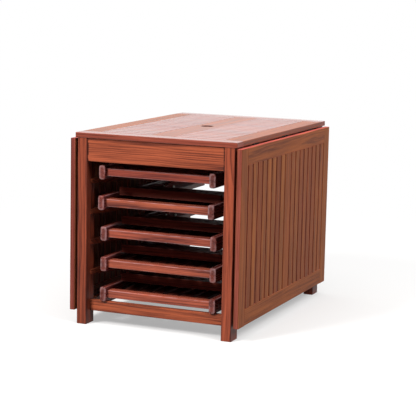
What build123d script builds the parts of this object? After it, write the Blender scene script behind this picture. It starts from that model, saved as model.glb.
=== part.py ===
from build123d import *
import math
import os

# Folding outdoor dining set: a slatted hardwood table with two drop leaves, and five folding
# chairs stored one above another inside its frame. Both leaves hang down and every chair is in.
# Millimetres. X runs across the table, Y from the open front (low) to the rear, Z up from the floor.

# Table sizes
table_height = 740
top_length = 990
top_width = 660
board_thickness = 20
leaf_length = 664
end_rail_width = 62
top_side_rail_width = 75
centre_rail_width = 100
leaf_rail_width = 64
leaf_middle_rail_width = 60
slat_gap = 8
top_slat_count = 17
leaf_slat_count = 8
slat_thickness = 16
umbrella_hole_diameter = 50

leg_width = 41
leg_depth = 64
leg_side_inset = 9
leg_end_inset = 2
apron_height = 88
apron_thickness = 22
apron_setback = 3
low_rail_bottom = 50
low_rail_height = 42
low_rail_thickness = 22
low_rail_setback = 30
cleat_size = 20
cleat_end_gap = 60

board_ease = 1.5
leg_ease = 2.5

# Leaf hinges
hinge_axis_drop = 1
hinge_axis_inset = 1
leaf_gap = 1.5
hinge_length = 60
hinge_flap_width = 26
hinge_flap_thickness = 1.8
knuckle_radius = 3
knuckle_relief = 0.5
hinge_pin_radius = 1.4
running_clearance = 0.15
knuckle_gap = 0.4
hinge_spacing = 310
hinge_count = 3

# Folding stays that hold a raised leaf
stay_pivot_height = 470
stay_leaf_pivot_height = 339
stay_pivot_inset = 14
stay_link_width = 16
stay_link_thickness = 2.5
stay_layer_gap = 0.3
stay_rivet_radius = 3
stay_head_radius = 6
stay_head_height = 1.5
bracket_reach = 32
bracket_height = 30
bracket_leg_gap = 0.5
stay_ease = 0.2

# Runners that carry the chairs
runner_thickness = 20
runner_reach = 25
runner_nose_start = 28
runner_nose_length = 155
runner_nose_width = 3
runner_screw_radius = 6
runner_screw_height = 2.5

# Chair sizes
chair_count = 5
chair_side_gap = 40
post_thickness = 27
post_depth = 56
post_round = 7
post_end_ease = 4
chair_setback = 22
chair_rear_gap = 40
chair_top_gap = 13.3
seating_clearance = 0.3
chair_offsets = (7, 8, 7.5, -4.5, -1)
seat_lifts = (5.8, 5.0, 4.2, 3.3, 1.9)
chair_turn = 180

front_stretcher_place = 110
front_stretcher_width = 40
front_stretcher_thickness = 18
leg_pivot_place = 350
leg_pivot_height = 22
rear_leg_overrun = 56
rear_leg_depth = 30
rear_leg_top_depth = 24
rear_leg_thickness = 20
rear_leg_clearance = 3.5
rear_stretcher_place = 88
rear_stretcher_height = 30
rear_stretcher_thickness = 18
chair_ease = 2

seat_pivot_gap = 90
seat_pivot_height = 34
seat_end_gap = 127
seat_rail_depth = 22
seat_rail_thickness = 20
seat_side_clearance = 1.5
seat_front_height = 31
seat_front_thickness = 18
seat_slat_thickness = 12
seat_slat_width = 36
seat_slat_count = 7
seat_slat_start = 15
seat_slat_end_gap = 8

back_rail_gap = 160
back_rail_width = 45
back_rail_setback = 12
back_rail_thickness = 15
crest_rail_end_gap = 14
crest_rail_width = 45
crest_rail_thickness = 30
back_slat_count = 7
back_slat_width = 46
back_slat_thickness = 10
bolt_radius = 3
bolt_head_radius = 7
bolt_head_height = 3
nut_radius = 6
nut_height = 5
nut_sides = 6

# Places worked out from the sizes
half_width = top_width / 2
half_length = top_length / 2
top_underside = table_height - board_thickness
leg_outer = half_width - leg_side_inset
leg_inner = leg_outer - leg_width
leg_end = half_length - leg_end_inset
leg_inner_end = leg_end - leg_depth
hinge_x = half_width - hinge_axis_inset
hinge_z = top_underside - hinge_axis_drop
leaf_inner = hinge_x + hinge_axis_drop
leaf_outer = leaf_inner + board_thickness
leaf_top = hinge_z - hinge_axis_inset - leaf_gap
leaf_bottom = leaf_top - leaf_length
low_rail_top = low_rail_bottom + low_rail_height
bay_front = -half_length
chair_front = bay_front + chair_setback
lowest_chair = low_rail_top + seating_clearance
highest_chair = top_underside - apron_height - chair_top_gap - post_depth
chair_pitch = (highest_chair - lowest_chair) / (chair_count - 1)
runner_width = chair_side_gap + runner_reach
post_outer = leg_inner - chair_side_gap
post_inner = post_outer - post_thickness
post_length = top_length - chair_setback - chair_rear_gap
seat_pivot_place = leg_pivot_place + seat_pivot_gap
back_rail_place = seat_pivot_place + back_rail_gap
crest_rail_end = post_length - crest_rail_end_gap
seat_length = post_length - seat_pivot_place - seat_end_gap


# A plank between two corners with its four long edges eased
def board(x_range, y_range, z_range, grain=Axis.Y, ease=board_ease):
    size = [high - low for low, high in (x_range, y_range, z_range)]
    middle = [(low + high) / 2 for low, high in (x_range, y_range, z_range)]
    plank = Pos(*middle) * Box(*size)
    return chamfer(plank.edges().filter_by(grain), ease)


# A round bar between two X, Y or Z places, on the given axis
def rod(radius, start, end, direction):
    plane = Plane(origin=start, z_dir=direction)
    length = (Vector(*end) - Vector(*start)).length
    return extrude(plane * Circle(radius), length)


def left_and_right(solid):
    return [solid, mirror(solid, Plane.YZ)]


def front_and_rear(solid):
    return [solid, mirror(solid, Plane.XZ)]


def on_four_corners(solid):
    return [copy for half in left_and_right(solid) for copy in front_and_rear(half)]


# Even slats that fill a run, with a gap before the first and after the last
def slat_ranges(start, end, count):
    width = (end - start - slat_gap * (count + 1)) / count
    first = start + slat_gap
    return [(first + i * (width + slat_gap), first + i * (width + slat_gap) + width) for i in range(count)]


def write(name, solids):
    shape = solids[0] if len(solids) == 1 else Compound(children=list(solids))
    export_step(shape, f"parts/{name}.step")


hinge_places = [(i - (hinge_count - 1) / 2) * hinge_spacing for i in range(hinge_count)]


# The slot beside each hinge's knuckles, cut from the edge of the board that carries the hinge
def hinge_relief(x_range, z_range):
    slots = []
    for place in hinge_places:
        y_range = (place - hinge_length / 2 - knuckle_relief, place + hinge_length / 2 + knuckle_relief)
        slots.append(board(x_range, y_range, z_range, ease=knuckle_relief / 2))
    return slots


# The top: a framed panel with a wide middle rail that holds the umbrella hole
def make_top():
    rail_reach = half_length - end_rail_width
    z_range = (top_underside, table_height)
    end_rail = board((-half_width, half_width), (rail_reach, half_length), z_range, Axis.X)
    write("top_end_rails", front_and_rear(end_rail))

    side_rail = board((half_width - top_side_rail_width, half_width), (-rail_reach, rail_reach), z_range)
    relief = knuckle_radius + knuckle_relief
    for slot in hinge_relief((hinge_x - relief, half_width + relief), (hinge_z - relief, hinge_z + relief)):
        side_rail -= slot
    write("top_side_rails", left_and_right(side_rail))

    half_centre = centre_rail_width / 2
    centre = board((-half_centre, half_centre), (-rail_reach, rail_reach), z_range)
    centre -= Pos(0, 0, top_underside + board_thickness / 2) * Cylinder(
        umbrella_hole_diameter / 2, board_thickness * 2
    )
    write("top_centre_rail", [centre])

    slats = []
    x_range = (half_centre, half_width - top_side_rail_width)
    slat_bottom = table_height - slat_thickness
    for y_range in slat_ranges(-rail_reach, rail_reach, top_slat_count):
        slats += left_and_right(board(x_range, y_range, (slat_bottom, table_height), Axis.X))
    write("top_slats", slats)


# Four legs, the aprons under the top, the low rails and the cleats that hold the top down
def make_frame():
    leg = board((leg_inner, leg_outer), (leg_inner_end, leg_end), (0, top_underside), Axis.Z, leg_ease)
    leg = chamfer(leg.faces().sort_by(Axis.Z)[0].edges(), board_ease)
    left = mirror(leg, Plane.YZ)
    write("leg_rear_right", [leg])
    write("leg_rear_left", [left])
    write("leg_front_right", [mirror(leg, Plane.XZ)])
    write("leg_front_left", [mirror(left, Plane.XZ)])

    apron_z = (top_underside - apron_height, top_underside)
    apron_end = leg_end - apron_setback
    end_apron = board((-leg_inner, leg_inner), (apron_end - apron_thickness, apron_end), apron_z, Axis.X)
    write("apron_rear", [end_apron])
    write("apron_front", [mirror(end_apron, Plane.XZ)])
    side_apron = board((leg_inner, leg_inner + apron_thickness), (-leg_inner_end, leg_inner_end), apron_z)
    write("side_aprons", left_and_right(side_apron))

    low_z = (low_rail_bottom, low_rail_top)
    low_end = leg_end - low_rail_setback
    end_rail = board((-leg_inner, leg_inner), (low_end - low_rail_thickness, low_end), low_z, Axis.X)
    write("low_rail_rear", [end_rail])
    write("low_rail_front", [mirror(end_rail, Plane.XZ)])
    side_rail = board((leg_inner, leg_inner + low_rail_thickness), (-leg_inner_end, leg_inner_end), low_z)
    write("low_side_rails", left_and_right(side_rail))

    cleat_reach = leg_inner_end - cleat_end_gap
    cleat = board(
        (leg_inner - cleat_size, leg_inner),
        (-cleat_reach, cleat_reach),
        (top_underside - cleat_size, top_underside),
    )
    write("top_cleats", left_and_right(cleat))


def chair_bottom(level):
    return lowest_chair + level * chair_pitch


# Boards on the inner faces of the legs that the chairs slide in on, with a tapered lead-in nose
def make_runners():
    nose = -leg_end + runner_nose_start
    rear = leg_end - leg_end_inset
    inner = leg_inner - runner_width
    outline = Polyline(
        (leg_inner, nose),
        (leg_inner - runner_nose_width, nose),
        (inner, nose + runner_nose_length),
        (inner, rear),
        (leg_inner, rear),
        close=True,
    )
    right = []
    screws = []
    for level in range(1, chair_count):
        runner_top = chair_bottom(level) - seating_clearance
        runner = extrude(Pos(0, 0, runner_top - runner_thickness) * make_face(outline), runner_thickness)
        right.append(chamfer(runner.edges().filter_by(Axis.Y), board_ease))
        screw_z = runner_top - runner_thickness / 2
        head = rod(
            runner_screw_radius,
            (leg_outer, leg_end - leg_depth / 2, screw_z),
            (leg_outer + runner_screw_height, leg_end - leg_depth / 2, screw_z),
            (1, 0, 0),
        )
        rim = head.faces().sort_by(Axis.X)[-1].edges()
        screws += on_four_corners(chamfer(rim, runner_screw_height / 2))
    write("runners_right", right)
    write("runners_left", [mirror(runner, Plane.YZ) for runner in right])
    write("runner_screws", screws)


# A hanging leaf on the right: frame boards with a middle rail, and two banks of slats
def make_leaves():
    x_range = (leaf_inner, leaf_outer)
    z_range = (leaf_bottom, leaf_top)
    rail_reach = half_length - end_rail_width
    stile = board(x_range, (rail_reach, half_length), z_range, Axis.Z)
    y_range = (-rail_reach, rail_reach)
    hinge_rail = board(x_range, y_range, (leaf_top - leaf_rail_width, leaf_top))
    relief = knuckle_radius + knuckle_relief
    for slot in hinge_relief((hinge_x - relief, hinge_x + relief), (hinge_z - relief, hinge_z + relief)):
        hinge_rail -= slot
    outer_rail = board(x_range, y_range, (leaf_bottom, leaf_bottom + leaf_rail_width))
    slat_z = (leaf_bottom + leaf_rail_width, leaf_top - leaf_rail_width)
    half_middle = leaf_middle_rail_width / 2
    middle_rail = board(x_range, (-half_middle, half_middle), slat_z, Axis.Z)
    frame = front_and_rear(stile) + [hinge_rail, outer_rail, middle_rail]
    slats = []
    for slat_y in slat_ranges(half_middle, rail_reach, leaf_slat_count):
        slats += front_and_rear(board((leaf_outer - slat_thickness, leaf_outer), slat_y, slat_z, Axis.Z))
    write("leaf_right_frame", frame)
    write("leaf_right_slats", slats)
    write("leaf_left_frame", [mirror(solid, Plane.YZ) for solid in frame])
    write("leaf_left_slats", [mirror(solid, Plane.YZ) for solid in slats])


# Five knuckles share a pin: the table flap has the outer and middle ones, the leaf flap the others
def make_hinges():
    knuckle_count = 5
    pitch = hinge_length / knuckle_count
    relief = knuckle_radius + knuckle_relief
    half_plate = hinge_flap_thickness / 2
    table_flaps = []
    leaf_flaps = []
    pins = []
    for place in hinge_places:
        start = place - hinge_length / 2
        end = start + hinge_length
        y_range = (start, end)
        table_flap = board((-hinge_flap_width, -relief), y_range, (-half_plate, half_plate), ease=stay_ease)
        leaf_flap = board((-half_plate, half_plate), y_range, (-hinge_flap_width, -relief), ease=stay_ease)
        for i in range(knuckle_count):
            low = start + i * pitch + knuckle_gap / 2
            high = start + (i + 1) * pitch - knuckle_gap / 2
            barrel = rod(knuckle_radius, (0, low, 0), (0, high, 0), (0, 1, 0))
            middle = (low + high) / 2
            if i % 2:
                leaf_flap += barrel
                leaf_flap += Pos(0, middle, -relief / 2) * Box(hinge_flap_thickness, high - low, relief)
            else:
                table_flap += barrel
                table_flap += Pos(-relief / 2, middle, 0) * Box(relief, high - low, hinge_flap_thickness)
        bore = rod(hinge_pin_radius + running_clearance, (0, start, 0), (0, end, 0), (0, 1, 0))
        pin = rod(hinge_pin_radius, (0, start, 0), (0, end, 0), (0, 1, 0))
        spot = Pos(hinge_x, 0, hinge_z)
        table_flaps += left_and_right(spot * (table_flap - bore))
        leaf_flaps.append(spot * (leaf_flap - bore))
        pins += left_and_right(spot * pin)
    write("hinge_table_flaps", table_flaps)
    write("hinge_leaf_flaps_right", leaf_flaps)
    write("hinge_leaf_flaps_left", [mirror(flap, Plane.YZ) for flap in leaf_flaps])
    write("hinge_pins", pins)


# A flat steel link with round ends and a hole at each, in the plane of X and Z
def stay_link(start, end, face, thickness):
    middle = ((start[0] + end[0]) / 2, face, (start[1] + end[1]) / 2)
    span = math.dist(start, end)
    outline = Plane(origin=middle, x_dir=(0, 0, 1), z_dir=(0, -1, 0)) * SlotCenterToCenter(span, stay_link_width)
    link = extrude(outline, thickness)
    for x, z in (start, end):
        link -= rod(stay_rivet_radius + running_clearance, (x, face, z), (x, face - thickness, z), (0, -1, 0))
    return link


# Two-link stays: long link from leg to elbow, short link from elbow to leaf. With the leaf up the
# links lie in one line, with the leaf down they are folded over each other.
def make_stays():
    pivot_x = half_width - stay_pivot_inset
    arm = hinge_z - stay_leaf_pivot_height
    drop = hinge_x - pivot_x
    raised = (hinge_x + arm, hinge_z - drop)
    reach = math.dist(raised, (pivot_x, stay_pivot_height))
    overlap = stay_pivot_height - stay_leaf_pivot_height
    long_link = (reach + overlap) / 2
    elbow_z = stay_pivot_height - long_link
    lift = math.degrees(math.atan2(raised[1] - stay_pivot_height, raised[0] - pivot_x))
    print("stay long link", round(long_link, 3), "short link", round(reach - long_link, 3))
    print("stay ratios", (90 + lift) / 90, -(180 - lift) / 90, "long link turns", 90 + lift)

    step = stay_link_thickness + stay_layer_gap
    plate_face = leg_inner_end
    bracket_face = plate_face - bracket_leg_gap
    short_face = plate_face - bracket_leg_gap - step
    long_face = short_face - step
    pivot = (pivot_x, stay_pivot_height)
    leaf_pivot = (pivot_x, stay_leaf_pivot_height)
    elbow = (pivot_x, elbow_z)

    plate_low = leg_inner + leg_ease
    plate = board(
        (plate_low, pivot_x),
        (plate_face - stay_link_thickness, plate_face),
        (stay_pivot_height - bracket_height / 2, stay_pivot_height + bracket_height / 2),
        Axis.X,
        stay_ease,
    )
    plate += rod(stay_link_width / 2, (pivot[0], plate_face, pivot[1]),
                 (pivot[0], plate_face - stay_link_thickness, pivot[1]), (0, -1, 0))
    head_end = long_face - stay_link_thickness - stay_layer_gap
    plate += rod(stay_rivet_radius, (pivot[0], plate_face, pivot[1]), (pivot[0], head_end, pivot[1]), (0, -1, 0))
    plate += rod(stay_head_radius, (pivot[0], head_end, pivot[1]),
                 (pivot[0], head_end - stay_head_height, pivot[1]), (0, -1, 0))
    plate += rod(stay_head_radius, (pivot[0], plate_face, pivot[1]),
                 (pivot[0], long_face + stay_layer_gap, pivot[1]), (0, -1, 0))
    write("stay_leg_plates", on_four_corners(plate))

    web_z = (stay_leaf_pivot_height - bracket_height / 2, stay_leaf_pivot_height + bracket_height / 2)
    web = board((pivot_x, leaf_inner), (bracket_face - stay_link_thickness, bracket_face), web_z, Axis.X, stay_ease)
    web += rod(stay_link_width / 2, (leaf_pivot[0], bracket_face, leaf_pivot[1]),
               (leaf_pivot[0], bracket_face - stay_link_thickness, leaf_pivot[1]), (0, -1, 0))
    flange = board(
        (leaf_inner - stay_link_thickness, leaf_inner),
        (bracket_face - stay_link_thickness, bracket_face + bracket_reach),
        web_z,
        Axis.Y,
        stay_ease,
    )
    rivet = rod(stay_rivet_radius, (leaf_pivot[0], bracket_face, leaf_pivot[1]),
                (leaf_pivot[0], short_face - stay_link_thickness, leaf_pivot[1]), (0, -1, 0))
    bracket = web + flange + rivet
    short = stay_link(leaf_pivot, elbow, short_face, stay_link_thickness)
    long = stay_link(pivot, elbow, long_face, stay_link_thickness)
    long += rod(stay_rivet_radius + running_clearance, (elbow[0], long_face, elbow[1]),
                (elbow[0], long_face - stay_link_thickness, elbow[1]), (0, -1, 0))
    long += rod(stay_head_radius, (elbow[0], long_face - stay_link_thickness, elbow[1]),
                (elbow[0], long_face - stay_link_thickness - stay_head_height, elbow[1]), (0, -1, 0))
    for name, piece in (("leaf_brackets", bracket), ("short_links", short), ("long_links", long)):
        right = front_and_rear(piece)
        write(f"stay_{name}_right", right)
        write(f"stay_{name}_left", [mirror(solid, Plane.YZ) for solid in right])


# One side of the chair at a time is made on the right. Y is measured from the feet towards the top of
# the back, and Z from the runner: a folded chair lies with its back down and its seat on top.
def make_posts():
    middle = ((post_inner + post_outer) / 2, post_length / 2, post_depth / 2)
    post = Pos(*middle) * Box(post_thickness, post_length, post_depth)
    post = fillet(post.edges().filter_by(Axis.Y), post_round)
    ends = post.faces().sort_by(Axis.Y)
    post = chamfer(ends[0].edges() + ends[-1].edges(), post_end_ease)
    for place, height in ((leg_pivot_place, leg_pivot_height), (seat_pivot_place, seat_pivot_height)):
        start = (post_inner, place, height)
        post -= rod(bolt_radius + running_clearance, start, (post_outer, place, height), (1, 0, 0))
    return left_and_right(post)


# A rail across the chair from post to post, between two places up the posts and two heights
def cross_rail(y_range, z_range):
    return board((-post_inner, post_inner), y_range, z_range, Axis.X, chair_ease)


def make_cross_rails():
    half = front_stretcher_width / 2
    stretcher = cross_rail(
        (front_stretcher_place - half, front_stretcher_place + half),
        (post_depth - front_stretcher_thickness, post_depth),
    )
    lower = cross_rail(
        (back_rail_place, back_rail_place + back_rail_width),
        (back_rail_setback, back_rail_setback + back_rail_thickness),
    )
    crest_low = (post_depth - crest_rail_thickness) / 2
    crest = cross_rail(
        (crest_rail_end - crest_rail_width, crest_rail_end),
        (crest_low, crest_low + crest_rail_thickness),
    )
    return [stretcher, lower, crest]


def make_back_slats():
    room = 2 * post_inner / back_slat_count
    y_range = (back_rail_place + back_rail_width, crest_rail_end - crest_rail_width)
    middle = back_rail_setback + back_rail_thickness / 2
    z_range = (middle - back_slat_thickness / 2, middle + back_slat_thickness / 2)
    slats = []
    for i in range(back_slat_count):
        x = (i + 1 / 2) * room - post_inner
        slats.append(board((x - back_slat_width / 2, x + back_slat_width / 2), y_range, z_range))
    return slats


# The rear legs lie flat between the posts, their feet level with the posts' feet
def make_rear_legs():
    outer = post_inner - rear_leg_clearance
    inner = outer - rear_leg_thickness
    half = rear_leg_depth / 2
    half_top = rear_leg_top_depth / 2
    side = Plane(origin=(inner, 0, 0), x_dir=(0, 1, 0), z_dir=(1, 0, 0))
    outline = side * make_face(
        Polyline((-leg_pivot_place, -half), (0, -half), (rear_leg_overrun, -half_top),
                 (rear_leg_overrun, half_top), (0, half), (-leg_pivot_place, half), close=True)
    )
    leg = extrude(outline, rear_leg_thickness)
    leg = chamfer(leg.faces().filter_by(Axis.X).edges(), chair_ease)
    leg += rod(half_top, (inner, rear_leg_overrun, 0), (outer, rear_leg_overrun, 0), (1, 0, 0))
    leg -= rod(bolt_radius + running_clearance, (inner, 0, 0), (outer, 0, 0), (1, 0, 0))
    spot = Pos(0, leg_pivot_place, leg_pivot_height)
    half_stretcher = rear_stretcher_thickness / 2
    stretcher = board(
        (-inner, inner),
        (rear_stretcher_place - half_stretcher, rear_stretcher_place + half_stretcher),
        (leg_pivot_height - rear_stretcher_height / 2, leg_pivot_height + rear_stretcher_height / 2),
        Axis.X,
        chair_ease,
    )
    return [spot * solid for solid in left_and_right(leg)] + [stretcher]


# The seat is folded against the back, its sitting face down, and stays a little open about its bolts
def make_seat(lift):
    outer = post_inner - seat_side_clearance
    inner = outer - seat_rail_thickness
    half = seat_rail_depth / 2
    end = seat_length - seat_front_thickness
    rail = board((inner, outer), (0, end), (-half, half), ease=chair_ease)
    rail += rod(half, (inner, 0, 0), (outer, 0, 0), (1, 0, 0))
    rail -= rod(bolt_radius + running_clearance, (inner, 0, 0), (outer, 0, 0), (1, 0, 0))
    front = board((-outer, outer), (end, seat_length), (-half, seat_front_height - half), Axis.X, chair_ease)
    pieces = left_and_right(rail) + [front]
    step = (end - seat_slat_end_gap - seat_slat_start - seat_slat_width) / (seat_slat_count - 1)
    for i in range(seat_slat_count):
        start = seat_slat_start + i * step
        z_range = (-half, seat_slat_thickness - half)
        pieces.append(board((-inner, inner), (start, start + seat_slat_width), z_range, Axis.X))
    spot = Pos(0, seat_pivot_place, seat_pivot_height) * Rot(lift, 0, 0)
    return [spot * solid for solid in pieces]


# Pivot bolts with a round head outside the post and a nut inside the piece that turns
def make_hardware():
    leg_inside = post_inner - rear_leg_clearance - rear_leg_thickness
    seat_inside = post_inner - seat_side_clearance - seat_rail_thickness
    bolts = []
    for place, height, inside in (
        (leg_pivot_place, leg_pivot_height, leg_inside),
        (seat_pivot_place, seat_pivot_height, seat_inside),
    ):
        head_end = (post_outer + bolt_head_height, place, height)
        shank = rod(bolt_radius, (inside - nut_height, place, height), (post_outer, place, height), (1, 0, 0))
        head = rod(bolt_head_radius, (post_outer, place, height), head_end, (1, 0, 0))
        head = chamfer(head.faces().sort_by(Axis.X)[-1].edges(), bolt_head_height / 2)
        nut_plane = Plane(origin=(inside - nut_height, place, height), z_dir=(1, 0, 0))
        nut = extrude(nut_plane * RegularPolygon(nut_radius, nut_sides), nut_height)
        bolts += left_and_right(shank + head + nut)
    return bolts


# Chairs are put away with the tops of their backs at the open front and their feet at the rear
def make_chairs():
    frame = make_posts() + make_cross_rails()
    slats = make_back_slats()
    rear_legs = make_rear_legs()
    hardware = make_hardware()
    for level in range(chair_count):
        place = Pos(chair_offsets[level], chair_front + post_length, chair_bottom(level))
        spot = place * Rot(0, 0, chair_turn)
        name = f"chair_{chair_count - level}"
        groups = (
            ("frame", frame),
            ("back_slats", slats),
            ("rear_legs", rear_legs),
            ("seat", make_seat(seat_lifts[level])),
            ("bolts", hardware),
        )
        for group, solids in groups:
            write(f"{name}_{group}", [spot * solid for solid in solids])


os.makedirs("parts", exist_ok=True)
make_top()
make_frame()
make_runners()
make_leaves()
make_hinges()
make_stays()
make_chairs()
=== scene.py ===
import math
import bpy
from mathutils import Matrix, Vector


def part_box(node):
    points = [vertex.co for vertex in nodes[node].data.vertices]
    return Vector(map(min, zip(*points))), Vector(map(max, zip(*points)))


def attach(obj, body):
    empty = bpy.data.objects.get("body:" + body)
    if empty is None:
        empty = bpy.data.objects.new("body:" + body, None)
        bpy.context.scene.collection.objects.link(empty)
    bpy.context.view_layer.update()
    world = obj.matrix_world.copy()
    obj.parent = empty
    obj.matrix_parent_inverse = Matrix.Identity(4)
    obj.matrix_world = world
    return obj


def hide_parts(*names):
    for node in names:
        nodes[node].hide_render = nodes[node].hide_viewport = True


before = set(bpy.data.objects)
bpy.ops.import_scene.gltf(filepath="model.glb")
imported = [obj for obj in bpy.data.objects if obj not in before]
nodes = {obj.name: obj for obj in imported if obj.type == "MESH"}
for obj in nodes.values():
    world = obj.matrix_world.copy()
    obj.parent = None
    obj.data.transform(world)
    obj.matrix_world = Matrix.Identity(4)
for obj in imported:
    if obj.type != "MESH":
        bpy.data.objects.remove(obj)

import zlib

import bpy
import numpy as np
from mathutils import Matrix

# Folding outdoor dining set: stained hardwood table with hanging leaves, five folded chairs in its bay.
# Metres, X across, Y from the open front to the rear, Z up.

scene = bpy.context.scene


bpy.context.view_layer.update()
print("frame loaded:", len(nodes), "nodes")


# Node helpers: small wrappers so that a material reads top to bottom

def place(tree, kind, **settings):
    node = tree.nodes.new(kind)
    for key, value in settings.items():
        setattr(node, key, value)
    return node


def plug(tree, socket, value):
    if isinstance(value, bpy.types.NodeSocket):
        tree.links.new(value, socket)
    else:
        socket.default_value = value


def maths(tree, operation, *values, clamp=False):
    node = place(tree, "ShaderNodeMath", operation=operation, use_clamp=clamp)
    for socket, value in zip(node.inputs, values):
        plug(tree, socket, value)
    return node.outputs[0]


def times(tree, first, second):
    return maths(tree, "MULTIPLY", first, second)


def timesPlus(tree, first, second, third):
    return maths(tree, "MULTIPLY_ADD", first, second, third)


def centred(tree, value):
    return maths(tree, "SUBTRACT", value, 0.5)


def stretched(tree, vector, scales):
    node = place(tree, "ShaderNodeVectorMath", operation="MULTIPLY")
    plug(tree, node.inputs[0], vector)
    node.inputs[1].default_value = scales
    return node.outputs[0]


def vectorLength(tree, vector):
    node = place(tree, "ShaderNodeVectorMath", operation="LENGTH")
    plug(tree, node.inputs[0], vector)
    return node.outputs["Value"]


def noise(tree, vector, scales, detail=2.0, roughness=0.5):
    node = place(tree, "ShaderNodeTexNoise")
    plug(tree, node.inputs["Vector"], stretched(tree, vector, scales))
    node.inputs["Scale"].default_value = 1.0
    node.inputs["Detail"].default_value = detail
    node.inputs["Roughness"].default_value = roughness
    return node.outputs["Fac"]


def spread(tree, value, fromLow, fromHigh, toLow=0.0, toHigh=1.0):
    node = place(tree, "ShaderNodeMapRange", interpolation_type="SMOOTHSTEP")
    for socket, number in zip(node.inputs, (value, fromLow, fromHigh, toLow, toHigh)):
        plug(tree, socket, number)
    return node.outputs[0]


def blended(tree, share, first, second, mode="MIX"):
    node = place(tree, "ShaderNodeMix", data_type="RGBA", blend_type=mode)
    # a mix node has one set of sockets per kind of value; 6, 7 and the third output are the colours
    plug(tree, node.inputs[0], share)
    plug(tree, node.inputs[6], first)
    plug(tree, node.inputs[7], second)
    return node.outputs[2]


def separated(tree, vector):
    node = place(tree, "ShaderNodeSeparateXYZ")
    plug(tree, node.inputs[0], vector)
    return node.outputs


def bumped(tree, height, strength, depth):
    node = place(tree, "ShaderNodeBump")
    node.inputs["Strength"].default_value = strength
    node.inputs["Distance"].default_value = depth
    plug(tree, node.inputs["Height"], height)
    return node.outputs[0]


def coordinates(tree, kind):
    return place(tree, "ShaderNodeTexCoord").outputs[kind]


def attribute(tree, name, output):
    return place(tree, "ShaderNodeAttribute", attribute_name=name).outputs[output]


def rgba(color):
    return (*color, 1.0)


def newGroup(name, inputs, outputs):
    tree = bpy.data.node_groups.new(name, "ShaderNodeTree")
    for label, kind in inputs:
        tree.interface.new_socket(name=label, in_out="INPUT", socket_type="NodeSocket" + kind)
    for label, kind in outputs:
        tree.interface.new_socket(name=label, in_out="OUTPUT", socket_type="NodeSocket" + kind)
    return tree, tree.nodes.new("NodeGroupInput").outputs, tree.nodes.new("NodeGroupOutput").inputs


def newMaterial(name):
    material = bpy.data.materials.new(name)
    material.use_nodes = True
    return material, material.node_tree


# Noise scales are per metre along, across and down the board
grainNoises = {
    "slow": {"scales": (1.7, 8.0, 8.0)},
    "quick": {"scales": (11.0, 70.0, 70.0)},
    "streak": {"scales": (2.4, 42.0, 42.0), "detail": 4.0, "roughness": 0.62},
    "band": {"scales": (4.0, 210.0, 210.0), "roughness": 0.6},
    "fibre": {"scales": (16.0, 780.0, 780.0), "detail": 3.0, "roughness": 0.6},
    "pore": {"scales": (55.0, 1500.0, 1500.0), "detail": 1.0},
    "patch": {"scales": (24.0, 60.0, 60.0)},
    "film": {"scales": (2.5, 14.0, 14.0)},
}
# Cells are per metre like the noise scales; a push moves the rings, in metres; lateShare, bandShare,
# fibreShare and leastShare count towards the late wood's colour; pairs and fours are limits for spread()
grainLook = {
    "knotCells": (3.1, 9.0, 9.0), "knotRare": 0.86, "knotCore": (0.13, 0.02), "knotHalo": (0.45, 0.05),
    "knotPush": 0.008, "quickPush": 0.0022,
    "latePower": 2.2, "lateEnd": (1.0, 0.88), "lateShare": 0.62, "bandShare": 0.9, "fibreShare": 0.5,
    "leastShare": 0.24, "poreRange": (0.60, 0.74), "poreShare": 0.35, "poreColor": (0.05, 0.014, 0.008),
    "palestTone": 0.3, "toneValue": 0.17, "reddestTone": -0.5, "toneHue": 0.007, "patchRange": (0.28, 0.58),
    "lateHeight": -0.45, "poreHeight": -0.8, "lateGloss": -0.10, "fibreGloss": 0.16,
    "filmRange": (0.25, 0.62, 0.78, 1.0), "filmToneRange": (1.9, 0.9, 0.12, 1.0),
}


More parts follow.
